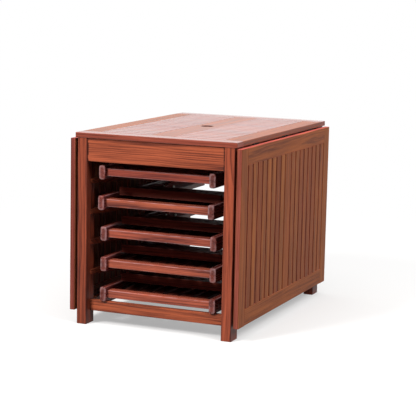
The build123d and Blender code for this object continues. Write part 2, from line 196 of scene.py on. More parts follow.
# Growth rings round a pith line that runs along the board, so faces show long figure and ends show arcs.
# Ring place = distance from the pith / spacing, wandered by two noises; late wood = ring place to a power.
def makeBoardGrain():
    tree, given, out = newGroup(
        "boardGrain",
        [("Grain", "Vector"), ("Tone", "Float"), ("Edge", "Float"), ("Early", "Color"), ("Late", "Color"),
         ("Edging", "Color"), ("Spacing", "Float"), ("Figure", "Float"), ("Streak", "Float"),
         ("Edgeshare", "Float")],
        [("Color", "Color"), ("Height", "Float"), ("Gloss", "Float"), ("Sheen", "Float")],
    )
    look = grainLook
    waves = {name: noise(tree, given["Grain"], **wave) for name, wave in grainNoises.items()}

    # knots: rare cells of a stretched Voronoi, dark inside, with the rings pushed round them
    cells = place(tree, "ShaderNodeTexVoronoi", feature="F1")
    plug(tree, cells.inputs["Vector"], stretched(tree, given["Grain"], look["knotCells"]))
    cells.inputs["Scale"].default_value = 1.0
    pick = place(tree, "ShaderNodeSeparateColor")
    plug(tree, pick.inputs[0], cells.outputs["Color"])
    rare = maths(tree, "GREATER_THAN", pick.outputs[0], look["knotRare"])
    knot = times(tree, spread(tree, cells.outputs["Distance"], *look["knotCore"]), rare)
    halo = times(tree, spread(tree, cells.outputs["Distance"], *look["knotHalo"]), rare)

    y, z = separated(tree, given["Grain"])[1:3]
    distance = maths(tree, "SQRT", maths(tree, "ADD", times(tree, y, y), times(tree, z, z)))
    distance = timesPlus(tree, centred(tree, waves["slow"]), given["Figure"], distance)
    distance = timesPlus(tree, centred(tree, waves["quick"]), look["quickPush"], distance)
    distance = timesPlus(tree, halo, look["knotPush"], distance)
    ring = maths(tree, "FRACT", maths(tree, "DIVIDE", distance, given["Spacing"]))
    late = times(tree, maths(tree, "POWER", ring, look["latePower"]), spread(tree, ring, *look["lateEnd"]))

    # how far each point has the late wood's colour, and the dark pores over it
    streak = timesPlus(tree, centred(tree, waves["band"]), look["bandShare"], centred(tree, waves["streak"]))
    share = timesPlus(tree, streak, given["Streak"], times(tree, late, look["lateShare"]))
    share = timesPlus(tree, centred(tree, waves["fibre"]), look["fibreShare"], share)
    share = maths(tree, "ADD", share, look["leastShare"], clamp=True)
    share = maths(tree, "MAXIMUM", share, knot)
    pore = spread(tree, waves["pore"], *look["poreRange"])
    color = blended(tree, share, given["Early"], given["Late"])
    color = blended(tree, times(tree, pore, look["poreShare"]), color, rgba(look["poreColor"]))

    # each board's own stain depth, then the edging colour in patches on the rounded edges: darker on the
    # frame and leaves, paler on the top (wear and partly a painted highlight), and a painted highlight on the
    # chairs
    level = place(tree, "ShaderNodeHueSaturation")
    plug(tree, level.inputs["Color"], color)
    paleTone = maths(tree, "MINIMUM", given["Tone"], look["palestTone"])
    plug(tree, level.inputs["Value"], timesPlus(tree, paleTone, look["toneValue"], 1.0))
    redTone = maths(tree, "MAXIMUM", given["Tone"], look["reddestTone"])
    plug(tree, level.inputs["Hue"], timesPlus(tree, redTone, look["toneHue"], 0.5))
    patchy = spread(tree, waves["patch"], *look["patchRange"])
    edging = times(tree, times(tree, given["Edge"], patchy), given["Edgeshare"])
    plug(tree, out["Color"], blended(tree, edging, level.outputs[0], given["Edging"]))

    height = timesPlus(tree, pore, look["poreHeight"], waves["fibre"])
    plug(tree, out["Height"], timesPlus(tree, late, look["lateHeight"], height))
    fibreGloss = times(tree, waves["fibre"], look["fibreGloss"])
    plug(tree, out["Gloss"], timesPlus(tree, share, look["lateGloss"], fibreGloss))

    # the oil film: nearly gone from boards with the palest stain, thinner in patches on all of them
    film = spread(tree, waves["film"], *look["filmRange"])
    plug(tree, out["Sheen"], times(tree, film, spread(tree, given["Tone"], *look["filmToneRange"])))
    return tree


filmLook = {"cloud": {"scales": (70.0, 70.0, 70.0), "detail": 4.0, "roughness": 0.6},
            "scratch": {"scales": (1400.0, 1400.0, 60.0)},
            "cloudRange": (0.35, 0.70), "cloudGloss": 0.22, "scratchGloss": 0.12}


# Dull film over plated steel: broad cloudiness and fine rolled scratches along Z
def makeSteelFilm():
    tree, given, out = newGroup(
        "steelFilm",
        [("Place", "Vector"), ("Clean", "Color"), ("Dull", "Color")],
        [("Color", "Color"), ("Height", "Float"), ("Gloss", "Float")],
    )
    look = filmLook
    cloud = spread(tree, noise(tree, given["Place"], **look["cloud"]), *look["cloudRange"])
    scratch = noise(tree, given["Place"], **look["scratch"])
    plug(tree, out["Color"], blended(tree, cloud, given["Clean"], given["Dull"]))
    plug(tree, out["Height"], scratch)
    gloss = timesPlus(tree, cloud, look["cloudGloss"], times(tree, scratch, look["scratchGloss"]))
    plug(tree, out["Gloss"], gloss)
    return tree


boardGrain = makeBoardGrain()
steelFilm = makeSteelFilm()

# Stain colours are linear; figure and spacing are metres. The painted side light multiplies the stain of
# faces whose normal's X part, without its sign, goes from the first number of paintedSideRange to the second:
# painted shade on the sides of the top, frame and chairs, and a paler, bluer painted sheen on the leaves'
# edges. The painted top highlight is for the leaves' edges that face up, and the painted hole shade darkens
# what lies within holeReach of the Z axis.
woods = {
    "top_wood": {
        # the top's pale edging is wear and partly a painted highlight
        "early": (0.410, 0.095, 0.058), "late": (0.180, 0.043, 0.028), "edging": (0.56, 0.30, 0.27),
        "spacing": 0.0062, "figure": 0.030, "streak": 1.9, "edgeshare": 0.50,
        "rough": 0.34, "bump": 0.03, "specular": 0.10, "coat": 0.86, "coatRough": 0.14, "coatIndex": 1.50,
        "paintedSideLight": (0.62, 0.52, 0.44), "paintedSideRange": (0.3, 0.7),
        "paintedHoleShade": (0.42, 0.36, 0.40), "holeReach": 0.0256,
    },
    "frame_wood": {
        "early": (0.515, 0.123, 0.054), "late": (0.088, 0.019, 0.013), "edging": (0.040, 0.012, 0.010),
        "spacing": 0.0075, "figure": 0.030, "streak": 1.9, "edgeshare": 0.95,
        "rough": 0.42, "bump": 0.12, "specular": 0.22,
        "paintedSideLight": (0.50, 0.45, 0.45), "paintedSideRange": (0.3, 0.7),
    },
    "leaf_wood": {
        "early": (0.390, 0.122, 0.044), "late": (0.140, 0.036, 0.015), "edging": (0.05, 0.015, 0.010),
        "spacing": 0.0060, "figure": 0.024, "streak": 1.7, "edgeshare": 0.95,
        "rough": 0.46, "bump": 0.12, "specular": 0.05,
        "paintedSideLight": (1.15, 0.96, 1.75), "paintedSideRange": (0.7, 0.3), "paintedTopHighlight": (1.8, 1.40, 1.6),
    },
    "chair_wood": {
        # the pale lilac edging on the chairs' rounded edges is a painted highlight
        "early": (0.490, 0.104, 0.062), "late": (0.115, 0.023, 0.020), "edging": (0.52, 0.31, 0.31),
        "spacing": 0.0060, "figure": 0.024, "streak": 2.3, "edgeshare": 0.62,
        "rough": 0.22, "bump": 0.12, "specular": 0.18,
        "paintedSideLight": (0.60, 0.50, 0.60), "paintedSideRange": (0.3, 0.7),
    },
}
# the chairs' back slats, seats and rear legs: a darker copy of the chair wood, painted shade for their place
# deep in the bay, with little specular and a rougher finish
woods["chair_wood_painted_shade"] = {
    **woods["chair_wood"],
    "early": (0.330, 0.088, 0.056), "late": (0.085, 0.023, 0.019), "specular": 0.02, "rough": 0.50,
}
# the coat lies on faces that look up; the painted top range picks the up-facing edges that get the painted
# highlight; bump depth is in metres
woodFinish = {"bumpDepth": 0.0006, "coatRange": (0.30, 0.85, 0.0), "paintedTopRange": (0.5, 0.9)}


def makeWood(name, look):
    material, tree = newMaterial(name)
    shader = tree.nodes["Principled BSDF"]
    group = place(tree, "ShaderNodeGroup", node_tree=boardGrain)
    plug(tree, group.inputs["Grain"], attribute(tree, "grain", "Vector"))
    plug(tree, group.inputs["Tone"], attribute(tree, "tone", "Fac"))
    plug(tree, group.inputs["Edge"], attribute(tree, "edge", "Fac"))
    for label in ("early", "late", "edging"):
        plug(tree, group.inputs[label.capitalize()], rgba(look[label]))
    for label in ("spacing", "figure", "streak", "edgeshare"):
        plug(tree, group.inputs[label.capitalize()], look[label])
    shader.inputs["Specular IOR Level"].default_value = look["specular"]
    if "coat" in look:
        shader.inputs["Coat Roughness"].default_value = look["coatRough"]
        shader.inputs["Coat IOR"].default_value = look["coatIndex"]
        upward = separated(tree, place(tree, "ShaderNodeNewGeometry").outputs["Normal"])[2]
        film = spread(tree, upward, *woodFinish["coatRange"], look["coat"])
        plug(tree, shader.inputs["Coat Weight"], times(tree, group.outputs["Sheen"], film))
    facing = separated(tree, coordinates(tree, "Normal"))
    # painted light: faces that look sideways (for the leaves, faces that don't) get the painted side light in
    # their stain
    paintedSideShare = spread(tree, maths(tree, "ABSOLUTE", facing[0]), *look["paintedSideRange"])
    stainAndPaintedLight = blended(tree, paintedSideShare, group.outputs["Color"], rgba(look["paintedSideLight"]), "MULTIPLY")
    # painted highlight: the leaves' edges that face up are made paler and pinker
    if "paintedTopHighlight" in look:
        paintedTopShare = spread(tree, facing[2], *woodFinish["paintedTopRange"])
        stainAndPaintedLight = blended(tree, paintedTopShare, stainAndPaintedLight, rgba(look["paintedTopHighlight"]), "MULTIPLY")
    # painted shade: the wall of the umbrella hole is darkened
    if "paintedHoleShade" in look:
        fromAxis = vectorLength(tree, stretched(tree, coordinates(tree, "Object"), (1.0, 1.0, 0.0)))
        inPaintedHoleShade = maths(tree, "LESS_THAN", fromAxis, look["holeReach"])
        stainAndPaintedLight = blended(tree, inPaintedHoleShade, stainAndPaintedLight, rgba(look["paintedHoleShade"]), "MULTIPLY")
    plug(tree, shader.inputs["Base Color"], stainAndPaintedLight)
    plug(tree, shader.inputs["Roughness"], maths(tree, "ADD", group.outputs["Gloss"], look["rough"]))
    bump = bumped(tree, group.outputs["Height"], look["bump"], woodFinish["bumpDepth"])
    plug(tree, shader.inputs["Normal"], bump)
    return material


steels = {
    "plated_steel": {"clean": (0.30, 0.285, 0.26), "dull": (0.14, 0.13, 0.115), "rough": 0.45,
                     "bump": 0.06, "bumpDepth": 0.0003},
    # the hinges' steel is darker: dust, and painted shade under the top's edge
    "steel_dust_and_painted_shade": {"clean": (0.060, 0.052, 0.046), "dull": (0.022, 0.018, 0.015), "rough": 0.60,
                        "bump": 0.06, "bumpDepth": 0.0003},
}


def makeSteel(name, look):
    material, tree = newMaterial(name)
    shader = tree.nodes["Principled BSDF"]
    group = place(tree, "ShaderNodeGroup", node_tree=steelFilm)
    plug(tree, group.inputs["Place"], coordinates(tree, "Object"))
    plug(tree, group.inputs["Clean"], rgba(look["clean"]))
    plug(tree, group.inputs["Dull"], rgba(look["dull"]))
    shader.inputs["Metallic"].default_value = 1.0
    plug(tree, shader.inputs["Base Color"], group.outputs["Color"])
    plug(tree, shader.inputs["Roughness"], maths(tree, "ADD", group.outputs["Gloss"], look["rough"]))
    bump = bumped(tree, group.outputs["Height"], look["bump"], look["bumpDepth"])
    plug(tree, shader.inputs["Normal"], bump)
    return material


materials = {name: makeWood(name, look) for name, look in woods.items()}
materials.update({name: makeSteel(name, look) for name, look in steels.items()})
print("materials made:", len(materials))


# Boards: every plain wooden board is one swept surface

# Corner places of a node's mesh, rounded to a micron, and the place number of each triangle corner
def meshArrays(node):
    mesh = nodes[node].data
    points = np.empty(len(mesh.vertices) * 3, np.float64)
    mesh.vertices.foreach_get("co", points)
    corners = np.empty(len(mesh.loops), np.int64)
    mesh.loops.foreach_get("vertex_index", corners)
    return np.round(points.reshape(-1, 3), 6), corners


# Labels the separate solids of a CAD node: corners that share a place get one number, and each triangle
# spreads its lowest number to its corners until nothing changes.
def nodeSolids(node):
    points, corners = meshArrays(node)
    shared, index = np.unique(points, axis=0, return_inverse=True)
    triangles = index.ravel()[corners].reshape(-1, 3)
    label = np.arange(len(shared))
    changed = True
    while changed:
        before = label.copy()
        np.minimum.at(label, triangles.ravel(), np.repeat(label[triangles].min(axis=1), 3))
        changed = bool((before != label).any())
    return [shared[label == one] for one in np.unique(label)]


# Turns points about an X-parallel line through (y, z) by an angle in degrees
def turned(points, pivot, degrees):
    y = points[:, 1] - pivot[0]
    z = points[:, 2] - pivot[1]
    c, s = math.cos(math.radians(degrees)), math.sin(math.radians(degrees))
    return np.stack([points[:, 0], pivot[0] + y * c - z * s, pivot[1] + y * s + z * c], axis=1)


# Axis numbers of a board with its longest side first
def boardAxes(size):
    axis = int(np.argmax(size))
    return [axis, (axis + 1) % 3, (axis + 2) % 3]


# Steps are the points of one rounding; edging shares are shares of one, and the rim's is a painted highlight
# round the chairs' post ends. Tones are stain depths, added at random.
boardLook = {"steps": 3, "stations": 4, "leastHalf": 1e-5, "mostRound": 0.98, "edgedEndOver": 0.0005,
             "endEdging": 0.6, "rimWearAndHighlight": 0.74, "endFaceEdging": 0.12, "sharpAngle": 38,
             "pithReach": (0.03, 0.11), "pithAlong": 40, "tones": 0.6, "cutTones": 0.5}


# A rounded rectangle carried along the board. Station i has the limits low[i] and high[i] across and down;
# corner points = corner centre + radius * (cos t, sin t), and the radius stays under half the smaller side.
# The first and last stations close in by endEase * (1 - sin t) while they step endEase * (1 - cos t) inwards.
# The edging share is whole in the middle of each rounding. With a seam it stays whole over the closing in and
# fades to nothing within the seam's width. With a rim it's even there, a painted highlight ring, and fades
# that far into the end face.
def sweptBoard(stations, lowA, highA, lowB, highB, ease, endEase, seam=0.0, rim=0.0):
    look = boardLook
    steps = look["steps"]
    t = np.linspace(0.0, math.pi / 2, steps)
    inset = endEase * (1 - np.sin(t))
    step = endEase * (1 - np.cos(t))
    if seam:
        stations = np.concatenate([[stations[0], stations[0] + endEase + seam], stations[1:-1],
                                   [stations[-1] - endEase - seam, stations[-1]]])
        limits = (np.full(len(stations), limit[0]) for limit in (lowA, highA, lowB, highB))
        lowA, highA, lowB, highB = limits
    s = np.concatenate([stations[0] + step, stations[1:-1], (stations[-1] - step)[::-1]])
    shrink = np.concatenate([inset, np.zeros(len(stations) - 2), inset[::-1]])
    if rim:
        s = np.concatenate([s[:1], s, s[-1:]])
        shrink = np.concatenate([[endEase + rim], shrink, [endEase + rim]])
    rows = [np.interp(s, stations, limit) for limit in (lowA, highA, lowB, highB)]
    centreA, centreB = (rows[0] + rows[1]) / 2, (rows[2] + rows[3]) / 2
    halfA = np.maximum((rows[1] - rows[0]) / 2 - shrink, look["leastHalf"])
    halfB = np.maximum((rows[3] - rows[2]) / 2 - shrink, look["leastHalf"])
    radius = np.minimum(ease, np.minimum(halfA, halfB) * look["mostRound"])

    turn = (np.arange(4)[:, None] * math.pi / 2 + t[None, :]).ravel()
    signA = np.repeat([1, -1, -1, 1], steps)
    signB = np.repeat([1, 1, -1, -1], steps)
    a = centreA[:, None] + signA * (halfA - radius)[:, None] + radius[:, None] * np.cos(turn)
    b = centreB[:, None] + signB * (halfB - radius)[:, None] + radius[:, None] * np.sin(turn)
    count, around = len(s), 4 * steps
    points = np.stack([np.broadcast_to(s[:, None], a.shape), a, b], axis=2).reshape(-1, 3)
    ids = np.arange(count * around).reshape(count, around)
    beside = np.roll(ids, -1, axis=1)
    quads = np.stack([ids[:-1], beside[:-1], beside[1:], ids[1:]], axis=2).reshape(-1, 4)
    caps = [ids[0][::-1], ids[-1]]

    edge = np.tile(np.sin(2 * t) ** 0.5, 4)
    whole = steps if seam else 1
    closeIn = np.zeros(count)
    if endEase > look["edgedEndOver"]:
        closeIn[:whole] = closeIn[-whole:] = 1.0 if seam else look["endEdging"]
    edging = np.maximum(np.broadcast_to(edge, a.shape), closeIn[:, None])
    if rim:
        edging[[1, 2, -3, -2]] = look["rimWearAndHighlight"]
        edging[[0, -1]] = look["endFaceEdging"]
    return points, quads, caps, edging.ravel()


# A box becomes a swept board along its longest side
def boxBoard(low, high, ease, endEase, seam=0.0, rim=0.0):
    along, across, down = boardAxes(high - low)
    stations = np.linspace(low[along], high[along], boardLook["stations"])
    flat = np.ones(len(stations))
    made = sweptBoard(stations, low[across] * flat, high[across] * flat, low[down] * flat,
                      high[down] * flat, ease, endEase, seam, rim)
    return made, [along, across, down]


# Gathers boards into one mesh. Each board gets its own pith line and stain depth: grain = place along and
# across the board from its middle, plus the offset of the pith. The given stain shift carries painted shade
# for some parts as well.
class BoardPile:
    def __init__(self, name):
        self.name = name
        self.random = np.random.default_rng(zlib.crc32(name.encode()))
        self.points, self.faces, self.grain, self.tone, self.edge = [], [], [], [], []
        self.total = 0

    def offsets(self):
        reach = self.random.uniform(*boardLook["pithReach"])
        angle = self.random.uniform(0, 2 * math.pi)
        along = self.random.uniform(0, boardLook["pithAlong"])
        return np.array([along, reach * math.cos(angle), reach * math.sin(angle)])

    def toneNear(self, stainAndShade, reach):
        return stainAndShade + self.random.uniform(-reach, reach)

    def add(self, made, order, after=None, stainAndShade=0.0):
        local, quads, caps, edging = made
        middle = (local.min(axis=0) + local.max(axis=0)) / 2
        placed = np.empty_like(local)
        placed[:, order] = local
        self.points.append(placed if after is None else after(placed))
        self.faces += (quads + self.total).tolist() + [(cap + self.total).tolist() for cap in caps]
        self.grain.append(local - middle + self.offsets())
        self.tone.append(np.full(len(local), self.toneNear(stainAndShade, boardLook["tones"])))
        self.edge.append(edging)
        self.total += len(local)

    def finish(self, body, slot, *replaced, material=None):
        mesh = bpy.data.meshes.new(self.name)
        mesh.from_pydata(np.concatenate(self.points), [], self.faces)
        dressMesh(mesh, *(np.concatenate(rows) for rows in (self.grain, self.tone, self.edge)))
        return installed(mesh, body, slot, replaced, material)


def dressMesh(mesh, grain, tone, edge):
    grain = grain.astype(np.float32).ravel()
    mesh.attributes.new("grain", "FLOAT_VECTOR", "POINT").data.foreach_set("vector", grain)
    mesh.attributes.new("tone", "FLOAT", "POINT").data.foreach_set("value", tone.astype(np.float32))
    mesh.attributes.new("edge", "FLOAT", "POINT").data.foreach_set("value", edge.astype(np.float32))
    smoothMesh(mesh, boardLook["sharpAngle"])


def smoothMesh(mesh, degrees):
    mesh.shade_smooth()
    mesh.set_sharp_from_angle(angle=math.radians(degrees))
    mesh.update()


def installed(mesh, body, slot, replaced=(), material=None):
    piece = bpy.data.objects.new(mesh.name, mesh)
    scene.collection.objects.link(piece)
    mesh.materials.append(materials[material or slot])
    # large faces keep their own direction right up to their rounded edges
    weights = piece.modifiers.new("faceWeights", "WEIGHTED_NORMAL")
    weights.keep_sharp = True
    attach(piece, body)
    if replaced:
        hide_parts(*replaced)
    return piece


# Plain straight boards: one surface for each solid of the node
def makeBoards(node, body, slot, ease, endEase, stainAndShade=0.0, seam=0.0, material=None):
    pile = BoardPile(node + ".boards")
    for solid in nodeSolids(node):
        pile.add(*boxBoard(solid.min(axis=0), solid.max(axis=0), ease, endEase, seam), stainAndShade=stainAndShade)
    return pile.finish(body, slot, node, material=material)


# A stain below nothing is darker, above it paler
legLook = {"slot": "frame_wood", "ease": 0.0030, "endEase": 0.0015}
railLook = {"slot": "frame_wood", "ease": 0.0018, "endEase": 0.0026, "seam": 0.0035}
tableBoards = {
    "top_end_rails": {"slot": "top_wood", "ease": 0.0020, "endEase": 0.0018},
    "top_slats": {"slot": "top_wood", "ease": 0.0009, "endEase": 0.0002},
    "leg_front_left": {**legLook, "stainAndShade": -1.9},
    "leg_front_right": {**legLook, "stainAndShade": -0.9},
    "leg_rear_left": {**legLook, "stainAndShade": -1.9},
    "leg_rear_right": {**legLook, "stainAndShade": -0.9},
    "apron_front": railLook,
    "apron_rear": railLook,
    "side_aprons": railLook,
    "low_rail_front": {**railLook, "stainAndShade": 0.6},
    "low_rail_rear": railLook,
    "low_side_rails": railLook,
    "top_cleats": {"slot": "frame_wood", "ease": 0.0016, "endEase": 0.0010},
}
leafSlats = {"slot": "leaf_wood", "ease": 0.0018, "endEase": 0.0002}
# the left leaf's darker stain is painted shade
leafStainAndShade = {"left": -1.3, "right": 0.0}

for node, look in tableBoards.items():
    makeBoards(node, "root", **look)
for side, stainAndShade in leafStainAndShade.items():
    makeBoards(f"leaf_{side}_slats", f"leaf_{side}", **leafSlats, stainAndShade=stainAndShade)
print("table boards made")


# Boards with cut places (hinge slots, umbrella hole) keep the solid's shape: the triangles of each board
# are merged for themselves, and get grain counted from the middle of the board along its longest side.
def makeCutBoards(node, body, slot, boardOf, stainAndShade):
    points, corners = meshArrays(node)
    points = points[corners]
    owner = np.repeat(boardOf(points.reshape(-1, 3, 3).mean(axis=1)), 3)
    shared, index = np.unique(np.column_stack([points, owner]), axis=0, return_inverse=True)
    triangles = index.reshape(-1, 3)
    triangles = triangles[(np.diff(np.sort(triangles, axis=1), axis=1) > 0).all(axis=1)]
    pile = BoardPile(node + ".boards")
    grain, tone = np.zeros((len(shared), 3)), np.zeros(len(shared))
    for one in np.unique(shared[:, 3]):
        which = shared[:, 3] == one
        board = shared[which, :3]
        low, high = board.min(axis=0), board.max(axis=0)
        grain[which] = (board - (low + high) / 2)[:, boardAxes(high - low)] + pile.offsets()
        tone[which] = pile.toneNear(stainAndShade, boardLook["cutTones"])
    mesh = bpy.data.meshes.new(pile.name)
    mesh.from_pydata(shared[:, :3], [], triangles.tolist())
    dressMesh(mesh, grain, tone, np.zeros(len(shared)))
    return installed(mesh, body, slot, (node,))


# Which board a triangle's middle lies in: the top's side rails are told apart by side, a leaf's stiles and
# rails by their joints, with each limit a hair past the joint.
cutBoards = {"sideRailStain": 1.9, "centreRailStain": 1.15, "stileFrom": 0.43299, "railDepth": 0.0641}


def sideRail(middles):
    return (middles[:, 0] > 0).astype(int)


def singleBoard(middles):
    return np.zeros(len(middles), int)


def leafBoard(middles):
    y, z = middles[:, 1], middles[:, 2]
    topRail = z > z.max() - cutBoards["railDepth"]
    lowRail = z < z.min() + cutBoards["railDepth"]
    rail = np.where(topRail, 2, np.where(lowRail, 3, 4))
    return np.where(np.abs(y) > cutBoards["stileFrom"], (y > 0).astype(int), rail)


makeCutBoards("top_side_rails", "root", "top_wood", sideRail, cutBoards["sideRailStain"])
makeCutBoards("top_centre_rail", "root", "top_wood", singleBoard, cutBoards["centreRailStain"])
for side, stainAndShade in leafStainAndShade.items():
    makeCutBoards(f"leaf_{side}_frame", f"leaf_{side}", "leaf_wood", leafBoard, stainAndShade)
print("cut boards made")

# Runners: over the nose, the inner side tapers outwards until only the nose's width is left
runnerLook = {"nose": 0.155, "noseWidth": 0.003, "ease": 0.0016, "endEase": 0.0004}
alongY = [1, 2, 0]  # a swept board's length, width and depth lie on Y, Z and X


def makeRunners(side, sign):
    node = f"runners_{side}"
    pile = BoardPile(node + ".boards")
    for solid in nodeSolids(node):
        low, high = solid.min(axis=0), solid.max(axis=0)
        stations = np.array([low[1], low[1] + runnerLook["nose"], (low[1] + high[1]) / 2, high[1]])
        flat = np.ones(len(stations))
        lowX, highX = low[0] * flat, high[0] * flat
        if sign > 0:
            lowX[0] = high[0] - runnerLook["noseWidth"]
        else:
            highX[0] = low[0] + runnerLook["noseWidth"]
        made = sweptBoard(stations, low[2] * flat, high[2] * flat, lowX, highX, runnerLook["ease"],
                          runnerLook["endEase"])
        pile.add(made, alongY)
    return pile.finish("root", "frame_wood", node)


makeRunners("left", -1)
makeRunners("right", 1)
print("runners made")

# Chairs lie folded, with their feet at the rear and the tops of their backs at the open front. Bolt places
# are counted from the feet towards the front, and up from the runner.
# the posts' darker stain is partly their end grain and partly painted shade on their sides
chairLook = {"postRound": 0.0075, "postEnd": 0.0045, "postRim": 0.0045, "postOver": 0.5,
             "railEase": 0.0042, "railEnd": 0.0003, "slatEase": 0.0010, "slatEnd": 0.0002,
             # the inner stain is painted shade on the parts that lie deep in the bay
             "shapedEnd": 0.0004, "postStainAndShade": -3.2, "railStain": 0.3, "paintedInnerShade": -1.0,
             "legBolt": (0.350, 0.022), "legTaper": 0.056, "legHalf": 0.015, "legTopHalf": 0.012,
             "legStations": 4, "stretcherOver": 0.1,
             "seatBolt": (0.440, 0.034), "seatHalf": 0.011, "seatFront": 0.018, "seatRail": 0.020,
             "seatStations": 4, "seatStraightEnd": -0.02, "seatSlatUnder": 0.1,
             "roundStations": 8, "roundShare": 0.99, "leastRound": 1e-10}
# degrees that each seat stands open from its posts
seatLifts = {"chair_1": 1.9, "chair_2": 3.3, "chair_3": 4.2, "chair_4": 5.0, "chair_5": 5.8}


# Half depth of a circle's stretch: sqrt(radius^2 - s^2), with s from the circle's middle
def circleHalf(s, radius):
    return np.sqrt(np.maximum(radius ** 2 - s ** 2, chairLook["leastRound"]))


# Half depth of a rear leg, s from its bolt: full to the bolt, a straight taper, then a half circle
def legHalfDepth(s):
    taper, full, top = chairLook["legTaper"], chairLook["legHalf"], chairLook["legTopHalf"]
    return np.where(s > taper, circleHalf(s - taper, top), np.interp(s, [0, taper], [full, top]))


# Half depth of a seat rail, s from its bolt: a half circle about the bolt, then straight
def seatHalfDepth(s):
    half = chairLook["seatHalf"]
    return np.where(s > 0, circleHalf(s, half), half)


# Stations that crowd towards a round end: centre + radius * sin t
def roundPlaces(centre, radius):
    t = np.linspace(0, math.pi / 2, chairLook["roundStations"]) * chairLook["roundShare"]
    return centre + radius * np.sin(t)


# A rail along Y whose depth changes: s counts from the pivot, and half is the half depth there
def shapedRail(s, half, pivot, lowX, highX):
    flat = np.ones(len(s))
    return sweptBoard(s + pivot[0], pivot[1] - half, pivot[1] + half, lowX * flat, highX * flat,
                      chairLook["railEase"], chairLook["shapedEnd"])


def makeChairFrame(name):
    look = chairLook
    pile = BoardPile(f"{name}_frame.boards")
    for solid in nodeSolids(f"{name}_frame"):
        low, high = solid.min(axis=0), solid.max(axis=0)
        if high[1] - low[1] > look["postOver"]:
            post = boxBoard(low, high, look["postRound"], look["postEnd"], rim=look["postRim"])
            pile.add(*post, stainAndShade=look["postStainAndShade"])
        else:
            pile.add(*boxBoard(low, high, look["railEase"], look["railEnd"]), stainAndShade=look["railStain"])
    pile.finish(name, "chair_wood", f"{name}_frame")


def makeChairLegs(name, pivot):
    look = chairLook
    pile = BoardPile(f"{name}_rear_legs.boards")
    for solid in nodeSolids(f"{name}_rear_legs"):
        low, high = solid.min(axis=0), solid.max(axis=0)
        if high[0] - low[0] > look["stretcherOver"]:
            pile.add(*boxBoard(low, high, look["railEase"], look["railEnd"]), stainAndShade=look["paintedInnerShade"])
            continue
        s = np.concatenate([-roundPlaces(look["legTaper"], look["legTopHalf"])[::-1],
                            np.linspace(0, high[1] - pivot[0], look["legStations"])])
        made = shapedRail(s, legHalfDepth(-s), pivot, low[0], high[0])
        pile.add(made, alongY, stainAndShade=look["paintedInnerShade"])
    pile.finish(name, "chair_wood", f"{name}_rear_legs", material="chair_wood_painted_shade")


# The seat is made level and then turned about its bolts to its lift
def makeChairSeat(name, pivot, lift):
    def lifted(points):
        return turned(points, pivot, -lift)

    look = chairLook
    pile = BoardPile(f"{name}_seat.boards")
    for solid in nodeSolids(f"{name}_seat"):
        level = turned(solid, pivot, lift)
        low, high = level.min(axis=0), level.max(axis=0)
        if high[1] - low[1] < look["seatSlatUnder"]:
            pile.add(*boxBoard(low, high, look["slatEase"], look["slatEnd"]), lifted, look["paintedInnerShade"])
            continue
        # the two side rails and the front rail touch at their corners, so they come as one solid
        joint = low[1] + look["seatFront"]
        front = boxBoard(low, np.array([high[0], joint, high[2]]), look["slatEase"], look["slatEnd"])
        pile.add(*front, lifted, look["paintedInnerShade"])
        straight = np.linspace(joint - pivot[0], look["seatStraightEnd"], look["seatStations"])
        s = np.concatenate([straight, roundPlaces(0, look["seatHalf"])])
        for inner in (low[0], high[0] - look["seatRail"]):
            made = shapedRail(s, seatHalfDepth(s), pivot, inner, inner + look["seatRail"])
            pile.add(made, alongY, lifted, look["paintedInnerShade"])
    pile.finish(name, "chair_wood", f"{name}_seat", material="chair_wood_painted_shade")


def makeChair(name, lift):
    low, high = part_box(f"{name}_frame")
    legPivot = (high.y - chairLook["legBolt"][0], low.z + chairLook["legBolt"][1])
    seatPivot = (high.y - chairLook["seatBolt"][0], low.z + chairLook["seatBolt"][1])
    makeChairFrame(name)
    makeBoards(f"{name}_back_slats", name, "chair_wood", chairLook["slatEase"], chairLook["slatEnd"],
               chairLook["paintedInnerShade"], material="chair_wood_painted_shade")
    makeChairLegs(name, legPivot)
    makeChairSeat(name, seatPivot, lift)


for name, lift in seatLifts.items():
    makeChair(name, lift)
print("chairs made:", len(seatLifts))

# Steel: the solids stay, plated; the hinges get a darker steel, dust and painted shade; screw heads are new
for node in nodes:
    if node.startswith(("hinge", "stay", "runner_screws")) or node.endswith("_bolts"):
        for slot in nodes[node].material_slots:
            slot.material = materials["steel_dust_and_painted_shade" if node.startswith("hinge") else "plated_steel"]

screwLook = {"radius": 0.0034, "height": 0.0013, "crossLength": 0.0019, "crossWidth": 0.00045,
             "crossDepth": 0.0007, "rings": 9, "around": 24, "sharpAngle": 35}


# A pan head on a polar grid: height = dome * sqrt(1 - (r/R)^4), less a cross recess that fades with r
def screwHead(normal):
    look = screwLook
    r = np.linspace(0, 1, look["rings"])[:, None] * look["radius"]
    angle = np.linspace(0, 2 * math.pi, look["around"], endpoint=False)[None, :]
    u, v = r * np.cos(angle), r * np.sin(angle)
    dome = look["height"] * np.sqrt(np.maximum(1 - (r / look["radius"]) ** 4, 0))
    arm = np.minimum(np.abs(u), np.abs(v))
    reach = np.hypot(u, v)
    cross = (arm < look["crossWidth"]) & (reach < look["crossLength"])
    recess = np.where(cross, look["crossDepth"] * (1 - reach / look["crossLength"] / 2), 0)
    height = dome + np.zeros_like(u) - recess
    normal = np.array(normal, float)
    side = np.cross(normal, [0, 0, 1.0] if abs(normal[2]) < 0.5 else [1.0, 0, 0])
    other = np.cross(normal, side)
    points = u[..., None] * side + v[..., None] * other + height[..., None] * normal
    return points.reshape(-1, 3)[look["around"] - 1:]


